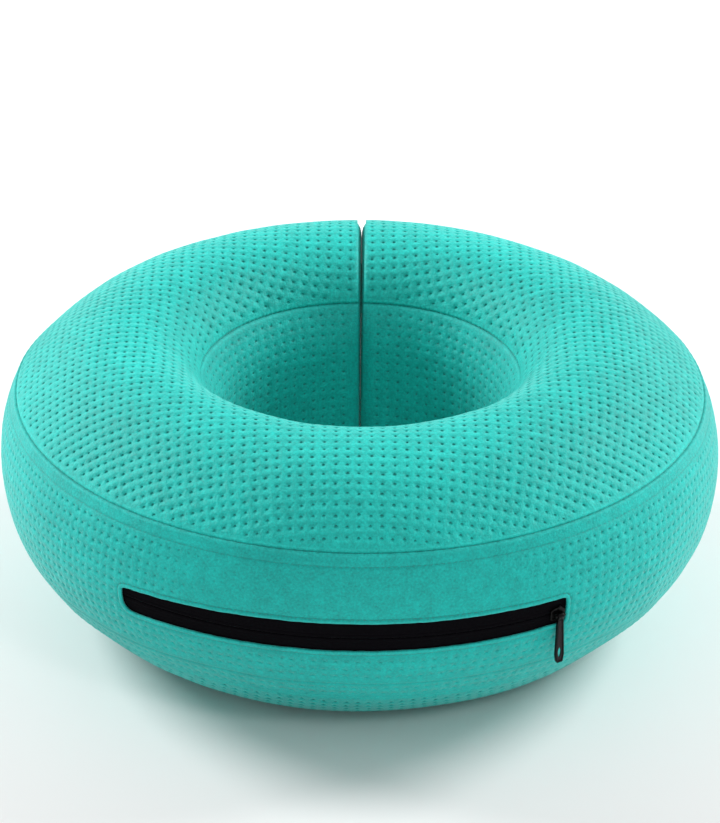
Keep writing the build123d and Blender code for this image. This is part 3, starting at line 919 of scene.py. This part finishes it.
def relaxed(key, azimuth, s):
    """How far the simulated cover stands proud of its even shape, in millimetres."""
    if SIMULATED is None:
        return 0.0
    grid = SIMULATED[key]
    column = np.clip((azimuth / PANEL_END + 1) / 2, 0, 1) * (grid.shape[0] - 1)
    row = np.clip(s / PROFILES[key].length, 0, 1) * (grid.shape[1] - 1)
    a, b = (np.minimum(v.astype(int), n - 2) for v, n in zip((column, row), grid.shape))
    u, v = column - a, row - b
    low = grid[a, b] * (1 - u) + grid[a + 1, b] * u
    high = grid[a, b + 1] * (1 - u) + grid[a + 1, b + 1] * u
    return (low * (1 - v) + high * v) * strap_calm(azimuth, s, key)


def soft_edge(valley, reach, ridge=0.0):
    """Height beside both seams: a valley at the seam, and a ridge beside it."""
    def height(s, length):
        total = 0.0
        for away in (s, length - s):
            total += -valley * math.exp(-away / reach) + ridge * float(bump(away, 1.35, 0.85))
        return total
    return height


def side_strength(u, v):
    """The pits fade above the zipper, where the band is drawn tight."""
    azimuth = np.degrees(u / OUTER_RADIUS)
    above = np.clip((v + PROFILES["side"].s_at_z(90)) / 4, 0, 1)
    middle = 1 - np.clip((np.abs(azimuth) - 24) / 12, 0, 1)
    below = np.clip((-v - PROFILES["side"].s_at_z(70)) / 4, 0, 1)
    return 1 - 0.72 * above * middle + 0.35 * below


SIDE_CUT = Cut(PROFILES["side"], OUTER_RADIUS, 0)
WINDOW = Window(SIDE_CUT)
TOPSTITCH_S, HEM_STITCH_S = (PROFILES["side"].s_at_z(z) for z in (TOPSTITCH_Z, HEM_STITCH_Z))

sewn_panel("cover_top", "top_panel", "top", band_point(TOP_SEAM_Z)[0], 0.93, 720, soft_edge(0.65, 0.55),
           M_TOP, "cover_top_fabric", draw=(0.22, 130.0))
side_surface = sewn_panel("cover_side", "side_band", "side", OUTER_RADIUS, 0, 720,
                          soft_edge(0.7, 0.4, 0.45), M_SIDE, "cover_side_fabric", (5.6, 5.6),
                          (TOPSTITCH_S, HEM_STITCH_S), WINDOW, side_strength, 0.5, (0.12, 200.0))
sewn_panel("cover_bottom", "bottom_panel", "bottom", band_point(BOTTOM_SEAM_Z)[0], 0.8, 640,
           soft_edge(0.95, 0.8), M_SIDE, "cover_side_fabric")
sewn_panel("cover_neck", "neck_band", "neck", NECK_RADIUS, 0, 480, soft_edge(0.95, 0.8), M_SIDE,
           "cover_side_fabric")


def stitches(name, lines, material, slot, radius=THREAD, length=2.3):
    """Short lengths of thread whose ends dip into the fabric. A line is (middles, along, outward)."""
    stations = ((-1.0, 0.35, -1.7), (-0.8, 0.85, -0.5), (-0.4, 1.0, 0.0), (0.4, 1.0, 0.0),
                (0.8, 0.85, -0.5), (1.0, 0.35, -1.7))
    turn = np.arange(6) * math.pi / 3
    parts = []
    for middles, along, outward in lines:
        along, outward = unit_rows(along), unit_rows(outward)
        across = np.cross(along, outward)
        for middle, a, b, c in zip(middles, along, across, outward):
            ring = np.outer(np.cos(turn), b) + np.outer(np.sin(turn), c)
            parts.append(swept([middle + a * t * length / 2 + c * drop * radius + radius * wide * ring
                                for t, wide, drop in stations]))
    make_object(name, *joined(parts), material, slot=slot)


def seam_line(surface, azimuths, s, proud):
    """Middles, directions and normals of stitches along a line round a panel."""
    azimuths, s = np.broadcast_arrays(azimuths, s)
    middles = surface(azimuths, s, proud)
    ahead = surface(azimuths + 0.002, s, proud) - surface(azimuths - 0.002, s, proud)
    outward = surface(azimuths, s, proud + 1.0) - middles
    return middles, ahead, outward


def window_line(surface, away, proud):
    """The row of stitches round the zipper's opening."""
    where, points = round_loop(WINDOW.offset(away), STITCH_PITCH)
    places = [points(where + d) for d in (-0.4, 0.0, 0.4)]
    before, middles, after = (surface(*SIDE_CUT.unflat(*p.T), proud) for p in places)
    outward = surface(*SIDE_CUT.unflat(*places[1].T), proud + 1.0) - middles
    return middles, after - before, outward


ROUND = np.arange(-PANEL_END + 0.01, PANEL_END - 0.01, STITCH_PITCH / OUTER_RADIUS)
stitches("cover_stitching", [
    seam_line(side_surface, ROUND, TOPSTITCH_S, -0.42),
    seam_line(side_surface, ROUND, HEM_STITCH_S, -0.42),
    window_line(side_surface, 2.6, -0.2)], M_THREAD, "cover_side_fabric")


# Rings of an end cover: size, and the share of the gap it reaches across
END_RINGS = ((0.985, -0.9), (1.0, -0.45), (0.994, -0.1), (0.98, 0.3), (0.955, 0.7), (0.92, 0.93),
             (0.88, 0.995), (0.7, 0.995), (0.5, 0.995), (0.25, 0.995), (0.04, 0.995),
             (0.04, 0.2), (0.5, 0.0), (0.9, -0.4))


def end_panel(name, side):
    """Crowned panel that closes one end of the split ring, pressing towards the other end."""
    outline = []
    for key, forward in PANEL_ORDER:
        profile = PROFILES[key]
        s = np.linspace(0, profile.length, 45)[::1 if forward else -1]
        outline.append(np.column_stack(profile.at(s[:-1], -1.0)))
    outline = np.concatenate(outline)
    rows = []
    for scale, share in END_RINGS:
        line = SECTION_CENTRE + (outline - SECTION_CENTRE) * scale
        rows.append(turned(*line.T, side * (PANEL_END + share * (math.pi - PANEL_END))))
    points, faces = swept(rows, capped=False)
    across = len(outline)
    last = len(points) - across
    faces += [(last + j, last + (j + 1) % across, (j + 1) % across, j) for j in range(across)]
    obj = closed_object(f"end_cover_{name}", points, faces, M_SIDE, slot="cover_side_fabric",
                        node=f"end_panel_{name}")
    store_cut(obj, points[:, 1:])


end_panel("left", -1)
end_panel("right", 1)


# ---- zipper

def zipper_tape(name, side):
    """Woven tape, smooth side out, swelling over the coil behind it."""
    profile = PROFILES["side"]
    across = np.array([0.1, 0.2, 0.35, 0.55, 0.9, 1.3, 1.7, 2.05, 2.3, 2.55, 2.9, 3.6, 4.1, 4.35, 4.6,
                       5.6, 7.0, 8.6, 10.4, 12.4, 13.4, 13.9])
    proud = (0.22 * bump(across, 1.35, 0.9) - 0.32 * bump(across, 0.05, 0.32)
             - 0.16 * bump(across, 2.3, 0.22) - 0.07 * bump(across, 4.35, 0.25))
    back = np.full(len(across), -TAPE_INSET - TAPE_THICKNESS)
    s = profile.s_at_z(ZIP_Z) - side * np.concatenate((across, across[::-1]))
    section = profile.at(s, np.concatenate((-TAPE_INSET + proud, back)))
    margin = math.radians(1.6)
    points, faces = swept([turned(*section, a)
                           for a in np.linspace(ZIP_ENDS[0] - margin, ZIP_ENDS[1] + margin, 260)])
    closed_object(f"tape_{name}", points, faces, M_TAPE, slot="zipper_tape", node=f"zipper_tape_{name}")


def zipper_coil(name, side):
    """Nylon coil sewn behind the tape."""
    centre = band_point(ZIP_Z, COIL_DEPTH)[0]
    pitch, sides, per_turn = 1.2, 5, 9
    span = ZIP_ENDS[1] - ZIP_ENDS[0] + math.radians(2.0)
    turns = int(centre * span / pitch)
    t = np.linspace(0, turns, turns * per_turn)
    azimuth = ZIP_ENDS[0] - math.radians(1.0) + span * t / turns
    angle = 2 * math.pi * t
    line = turned(centre + COIL_SIZE[0] * np.sin(angle),
                  ZIP_Z + side * (COIL_GAP + COIL_SIZE[1] * np.cos(angle)), azimuth)
    ahead = unit_rows(np.gradient(line, axis=0))
    first = unit_rows(np.cross(ahead, [0.0, 0.0, 1.0]) + 1e-9)
    second = np.cross(ahead, first)
    turn = np.arange(sides) * 2 * math.pi / sides
    points, faces = swept([p + COIL_WIRE * (np.outer(np.cos(turn), a) + np.outer(np.sin(turn), b))
                           for p, a, b in zip(line, first, second)])
    closed_object(f"coil_{name}", points, faces, M_COIL, slot="zipper_coil", node=f"zipper_coil_{name}")


for tape_side, tape_name in ((1, "upper"), (-1, "lower")):
    zipper_tape(tape_name, tape_side)
    zipper_coil(tape_name, tape_side)


def machined(node, name, body, material, width=0.18):
    """Copy of a hard CAD part with its edges broken."""
    mesh = frame["nodes"][node].data.copy()
    mesh.name = name
    mesh.materials.clear()
    mesh.materials.append(material)
    work = bmesh.new()
    work.from_mesh(mesh)
    bmesh.ops.remove_doubles(work, verts=work.verts, dist=1e-7)
    bmesh.ops.dissolve_limit(work, angle_limit=math.radians(2), verts=work.verts, edges=work.edges)
    work.to_mesh(mesh)
    work.free()
    obj = bpy.data.objects.new(name, mesh)
    bpy.context.scene.collection.objects.link(obj)
    edge = obj.modifiers.new("edge", "BEVEL")
    edge.width = width * MM
    edge.segments = 2
    edge.limit_method = "ANGLE"
    edge.angle_limit = math.radians(38)
    edge.harden_normals = False
    graph = bpy.context.evaluated_depsgraph_get()
    final = bpy.data.meshes.new_from_object(obj.evaluated_get(graph))
    obj.modifiers.clear()
    obj.data = final
    final.polygons.foreach_set("use_smooth", [True] * len(final.polygons))
    final.set_sharp_from_angle(angle=math.radians(40))
    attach(obj, body)
    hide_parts(node)
    return obj


machined("zipper_slider", "slider", "slider", M_METAL, 0.12)
pull_tab = machined("zipper_pull", "pull_tab", "pull", M_METAL, 0.1)
machined("zipper_end_stops", "end_stops", "collar", M_METAL, 0.08)


def colour_recess():
    """Gives the pull's two sunk faces their duller grey."""
    mesh = pull_tab.data
    mesh.materials.append(M_PULL_FACE)
    azimuth = math.radians(31.9)
    outward = Vector((math.sin(azimuth), -math.cos(azimuth), 0))
    pivot = Vector(joint("pull_swing")["pos_m"])
    for face in mesh.polygons:
        away = abs((face.center - pivot).dot(outward))
        if abs(face.normal.dot(outward)) > 0.95 and away < 0.6 * MM:
            face.material_index = 1


colour_recess()


# ---- strap and ring

def plan(radius, azimuth):
    """Point in plan at a radius and an azimuth in degrees."""
    angle = math.radians(azimuth)
    return np.array((radius * math.sin(angle), -radius * math.cos(angle)))


def round_bar(azimuth, turns):
    """Points in plan of a strap's middle line round one bar of the ring, by angle in degrees."""
    centre = plan(BAR_RADIUS, azimuth)
    outward = plan(1.0, azimuth)
    along = plan(1.0, azimuth + 90)
    return [centre + LOOP_TURN * (math.cos(t) * along + math.sin(t) * outward)
            for t in map(math.radians, turns)]


def layer(radius, start, end):
    """Points in plan of a layer of the strap that lies round the collar."""
    return [plan(radius, a) for a in np.arange(start, end, math.copysign(0.3, end - start))]


def webbing(name, node, points, body, round_end=False):
    """Ribbed webbing, on edge, along a line in plan."""
    reach = reach_along(points)
    line = points_at(np.array(points), reach, np.linspace(0, reach[-1], max(3, int(reach[-1] / 0.75))))
    ahead = unit_rows(np.gradient(line, axis=0))
    out = np.column_stack((ahead[:, 1], -ahead[:, 0]))
    across = np.linspace(-1, 1, 61)
    ribs = 0.07 * np.cos(across * STRAP_WIDTH / 2 * 2 * math.pi / 1.9)
    edge = np.clip((1 - np.abs(across)) * STRAP_WIDTH / 2 / 1.1, 0, 1)
    thick = WEBBING / 2 * np.sqrt(1 - (1 - edge) ** 2 * 0.8) + ribs * edge - 0.05
    reach = reach_along(line)
    rows = []
    for k, (p, o) in enumerate(zip(line, out)):
        half = STRAP_WIDTH / 2
        if round_end:
            half *= 1 - 0.16 * max(0.0, 1 - (reach[-1] - reach[k]) / 3.5) ** 2
        pick = 1 + 0.05 * math.cos(math.pi * k)
        front, rear = (np.column_stack((p[0] + o[0] * t, p[1] + o[1] * t, EQUATOR_Z + across * half))
                       for t in (thick * pick, -thick * pick))
        rows.append(np.concatenate((front, rear[::-1])))
    points, faces = swept(rows)
    return closed_object(name, points, faces, M_WEBBING, body, "strap_webbing", node)


tab_outer = [plan(BAR_RADIUS + LOOP_TURN - smooth((169.7 - a) / 1.7) * (LOOP_TURN + 0.45), a)
             for a in np.arange(169.7, 149.9, -0.3)]
webbing("ring_tab_strap", "ring_tab", layer(INNER_LAYER, 150.0, 169.6)
        + round_bar(BAR_AZIMUTHS[0], range(-80, 91, 12)) + tab_outer, "collar")
webbing("strap_anchor", "strap_base", layer(INNER_LAYER, 176.9, 212.01), "collar")
fold = webbing("strap_turn", "strap_fold", layer(INNER_LAYER, 176.9, 175.2)
               + round_bar(BAR_AZIMUTHS[1], range(-100, -271, -12))
               + layer(OUTER_LAYER, 175.3, 177.21), None)
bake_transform(fold)
webbing("strap_end", "strap_tail", layer(OUTER_LAYER, 177.1, 206.01), "tail", round_end=True)
machined("ring_buckle", "wire_ring", "ring", M_RING, 0.1)


def box_stitch(name, azimuths, radius):
    """Stitched box with a cross, through the webbing."""
    low, high = azimuths
    half = STRAP_WIDTH / 2 - 3
    corners = [(low, -half), (high, -half), (high, half), (low, half)]
    runs = [*zip(corners, corners[1:] + corners[:1]), corners[::2], corners[1::2]]
    lines = []
    for (a, za), (b, zb) in runs:
        length = math.hypot(math.radians(b - a) * radius, zb - za)
        count = max(2, int(length / 2.9))
        t = (np.arange(count) + 0.5) / count
        azimuth = np.radians(a + (b - a) * t)
        z = EQUATOR_Z + za + (zb - za) * t
        middles = turned(radius, z, azimuth)
        ahead = turned(radius, z + (zb - za) * 0.01, azimuth + math.radians(b - a) * 0.01)
        lines.append((middles, ahead - middles, turned(1.0, np.zeros(count), azimuth)))
    stitches(name, lines, M_BLACK_THREAD, "strap_webbing", radius=0.2, length=2.1)


box_stitch("tab_stitching", (151.3, 158.5), STRAP_INSIDE + 2 * WEBBING + 0.05)
box_stitch("anchor_stitching", (207.3, 211.2), STRAP_INSIDE + WEBBING + 0.05)


def patch_slab(name, node, low, high, radii, body, material, slot):
    """Backing of a touch-fastener patch."""
    half = STRAP_WIDTH / 2 - 2
    z = np.array((-half, -half + 0.3, half - 0.3, half))
    z = EQUATOR_Z + np.concatenate((z, z[::-1]))
    inset = np.array((0.12, 0, 0, 0.12, -0.12, 0, 0, -0.12))
    radius = np.repeat(radii, 4) + inset
    points, faces = swept([turned(radius, z, math.radians(a)) for a in np.linspace(low, high, 40)])
    closed_object(name, points, faces, material, body, slot, node)


def stiff_hook():
    """Turn, shift along and up, sideways reach, rise and thickness of a hook's points."""
    return 0.0, (0, 0), (0, 0, 0.06, 0.3, 0.5), (0, 0.35, 0.75, 1.0, 0.8), 0.09


def loose_loop():
    """The same of a soft loop, which lies anyhow."""
    turn, along, up = RNG.uniform(0, math.pi), RNG.uniform(-0.5, 0.5), RNG.uniform(-0.5, 0.5)
    span = RNG.uniform(0.5, 0.9)
    return turn, (along, up), [span * (k / 4 * 2 - 1) for k in range(5)], (0, 0.8, 1.0, 0.8, 0), 0.05


def field(name, low, high, radius, rise, body, material, slot, pitch, hair):
    """Touch fastener's field of small bent hairs."""
    half = STRAP_WIDTH / 2 - 3
    sides = np.arange(3) * 2 * math.pi / 3
    parts = []
    for z in np.arange(-half, half + 0.01, pitch):
        for along in np.arange(*(math.radians(a) * radius for a in (low + 0.5, high - 0.5)), pitch):
            turn, shift, aside, bend, wide = hair()
            rows = []
            for reach, up in zip(aside, bend):
                a = (along + shift[0] + reach * math.cos(turn)) / radius
                height = EQUATOR_Z + z + shift[1] + reach * math.sin(turn)
                rows.append(turned(radius + rise * up, np.array([height]), a) + wide * np.column_stack(
                    (np.cos(sides) * math.cos(a), np.cos(sides) * math.sin(a), np.sin(sides))))
            parts.append(swept(rows))
    closed_object(name, *joined(parts), material, body, slot)


patch_slab("pile_backing", "loop_patch", 184.0, 206.0, (191.55, 191.95), "collar", M_LOOP, "loop_pile")
field("pile", 184.0, 206.0, 191.9, 0.45, "collar", M_LOOP, "loop_pile", 0.95, loose_loop)
patch_slab("hook_backing", "hook_patch", 186.0, 204.0, (193.25, 193.6), "tail", M_HOOK, "hook_nylon")
field("hooks", 186.0, 204.0, 193.3, -0.6, "tail", M_HOOK, "hook_nylon", 1.5, stiff_hook)


# ---- label, bladder and valve

def care_label():
    """Blank woven label, sewn down at both short ends."""
    ends = [PROFILES["side"].s_at_z(z) for z in (62.0, 50.0)]
    s = np.linspace(*ends, 15)
    azimuths = np.radians(np.linspace(228.0, 234.5, 33)) - 2 * math.pi
    rows = []
    for k, azimuth in enumerate(azimuths):
        middle = 1 - abs(k / 16 - 1) ** 4
        proud = 0.28 + 0.35 * middle + 0.05 * np.cos(np.linspace(-2, 2, 15))
        front, rear = (side_surface(azimuth, s, proud - under) for under in (0.0, 0.22))
        rows.append(np.concatenate((front, rear[::-1])))
    points, faces = swept(rows)
    closed_object("label", points, faces, M_LABEL, slot="label_satin", node="care_label")
    lines = []
    down = np.linspace(ends[0] + 1.0, ends[1] - 1.0, 6)
    for azimuth in (azimuths[1], azimuths[-2]):
        middles, ahead, outward = (side_surface(azimuth, down + further, proud)
                                   for further, proud in ((0.0, 0.45), (0.3, 0.45), (0.0, 1.45)))
        lines.append((middles, ahead - middles, outward - middles))
    stitches("label_stitching", lines, M_LABEL, "label_satin", radius=0.14, length=1.6)


care_label()


def bladder_line():
    """The film's section inside the cover, from the outer weld over the top to the inner weld."""
    whole = []
    for key, forward in (*PANEL_ORDER[1:], PANEL_ORDER[0]):
        profile = PROFILES[key]
        s = np.linspace(0, profile.length, 40)[::1 if forward else -1]
        whole.append(np.column_stack(profile.at(s, -BLADDER_INSET)))
    whole = np.concatenate(whole)
    upper, lower = whole[whole[:, 1] >= WELD_Z], whole[whole[:, 1] < WELD_Z]

    def ordered(points):
        angle = np.arctan2(*(points - SECTION_CENTRE).T[::-1])
        if points is lower:
            angle = -angle
        return points[np.argsort(angle)]

    return ordered(upper), ordered(lower)


def cut_valve_mouth(obj):
    """Opens the film round the valve's cup, with the edge hidden under the flange."""
    axis = Vector(joint("valve_pop_out")["axis"])
    low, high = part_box("valve_stem")
    middle = (low + high) / 2
    work = bmesh.new()
    work.from_mesh(obj.data)
    doomed = []
    for face in work.faces:
        away = face.calc_center_median() - middle
        if away.dot(axis) > 0 and (away - axis * away.dot(axis)).length < VALVE_MOUTH * MM:
            doomed.append(face)
    bmesh.ops.delete(work, geom=doomed, context="FACES")
    rim = [e for e in work.edges if e.is_boundary]
    bmesh.ops.bridge_loops(work, edges=rim)
    work.to_mesh(obj.data)
    work.free()


def bladder_sheet(name, line, side):
    """Half of the bladder: film with shallow creases running away from its weld, and its weld lip."""
    ends = [(r + 1.6 * np.sign(r - SECTION_CENTRE[0]), WELD_Z + side * 0.3)
            for r in (line[0, 0], line[-1, 0])]
    line = np.vstack((ends[0], (line[0, 0], WELD_Z + side * 0.5), line[1:-1],
                      (line[-1, 0], WELD_Z + side * 0.5), ends[1]))
    away = np.clip(np.abs(line[:, 1] - WELD_Z) / 14, 0, 1)
    inward = unit_rows(SECTION_CENTRE - line)
    rows = []
    end = math.radians(177.6)
    for azimuth in np.linspace(-end, end, 320):
        crease = 0.35 * (1 - away) * away * 4 * math.sin(azimuth * 74 + 2 * math.sin(azimuth * 9))
        closing = 1 - 0.06 * max(0.0, 1 - (end - abs(azimuth)) / 0.02) ** 2
        outer = (SECTION_CENTRE + (line - SECTION_CENTRE) * closing
                 + inward * (0.4 + crease)[:, None])
        section = np.vstack((outer, (outer + inward * 0.5)[::-1]))
        rows.append(turned(*section.T, azimuth))
    obj = make_object(f"film_{name}", *swept(rows), M_FILM, slot="bladder_film")
    if side > 0:
        cut_valve_mouth(obj)
    fix_normals(obj)
    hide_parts(f"bladder_{name}_sheet")


for film_name, film_line, film_side in zip(("top", "bottom"), bladder_line(), (1, -1)):
    bladder_sheet(film_name, film_line, film_side)
for node, body in (("valve_flange", "collar"), ("valve_stem", "stem"), ("valve_plug", "plug"),
                   ("plug_tether", "stem"), ("valve_flap", "flap")):
    machined(node, node + "_moulding", body, M_VALVE, 0.12)


# ---- floor, light and camera

def studio():
    """Pale floor, four soft lights, and a camera where the photograph was taken from."""
    floor = bpy.data.meshes.new("floor")
    reach = 6.0
    floor.from_pydata([(-reach, -reach, 0), (reach, -reach, 0), (reach, reach, 0), (-reach, reach, 0)],
                      [], [(0, 1, 2, 3)])
    stage = bpy.data.objects.new("floor", floor)
    stage.location.z = -0.0005
    bpy.context.scene.collection.objects.link(stage)
    pale = Nodes("pale_floor", (0.86, 0.86, 0.86), 0.9)
    pale.colour(pale.mix(pale.noise(pale.where(), 3.0), (0.84, 0.84, 0.84), (0.88, 0.88, 0.88)))
    floor.materials.append(pale.material)
    world = bpy.data.worlds.new("studio")
    world.use_nodes = True
    world.node_tree.nodes["Background"].inputs["Color"].default_value = (1.0, 1.0, 1.0, 1)
    world.node_tree.nodes["Background"].inputs["Strength"].default_value = 0.42
    bpy.context.scene.view_settings.view_transform = "Standard"
    bpy.context.scene.world = world
    for name, place, size, power in (
            ("left_box", (-1.65, 0.8, 1.2), 1.0, 46),
            ("right_box", (1.65, 0.8, 1.2), 1.0, 42.5),
            ("front_box", (0.9, -1.6, 1.5), 0.45, 6),
            ("low_box", (0.0, -1.5, 0.16), 1.0, 1.6)):
        light = bpy.data.lights.new(name, "AREA")
        light.shape = "DISK"
        light.size = size
        light.energy = power
        lamp = bpy.data.objects.new(name, light)
        lamp.location = place
        aim = Vector((0, 0, 0.08)) - Vector(place)
        lamp.rotation_euler = aim.to_track_quat("-Z", "Y").to_euler()
        bpy.context.scene.collection.objects.link(lamp)
    camera = bpy.data.cameras.new("camera")
    camera.lens = 202.5
    camera.sensor_fit = "VERTICAL"
    camera.sensor_height = 36.0
    camera.clip_end = 50
    view = bpy.data.objects.new("camera", camera)
    elevation, pitch, roll = math.radians(29.59), math.radians(27.41), math.radians(0.53)
    view.location = (0, -2.5 * math.cos(elevation), 2.5 * math.sin(elevation))
    turn = Matrix.Rotation(math.pi / 2 - pitch, 4, "X") @ Matrix.Rotation(roll, 4, "Z")
    view.rotation_euler = turn.to_euler()
    bpy.context.scene.collection.objects.link(view)
    bpy.context.scene.camera = view


studio()
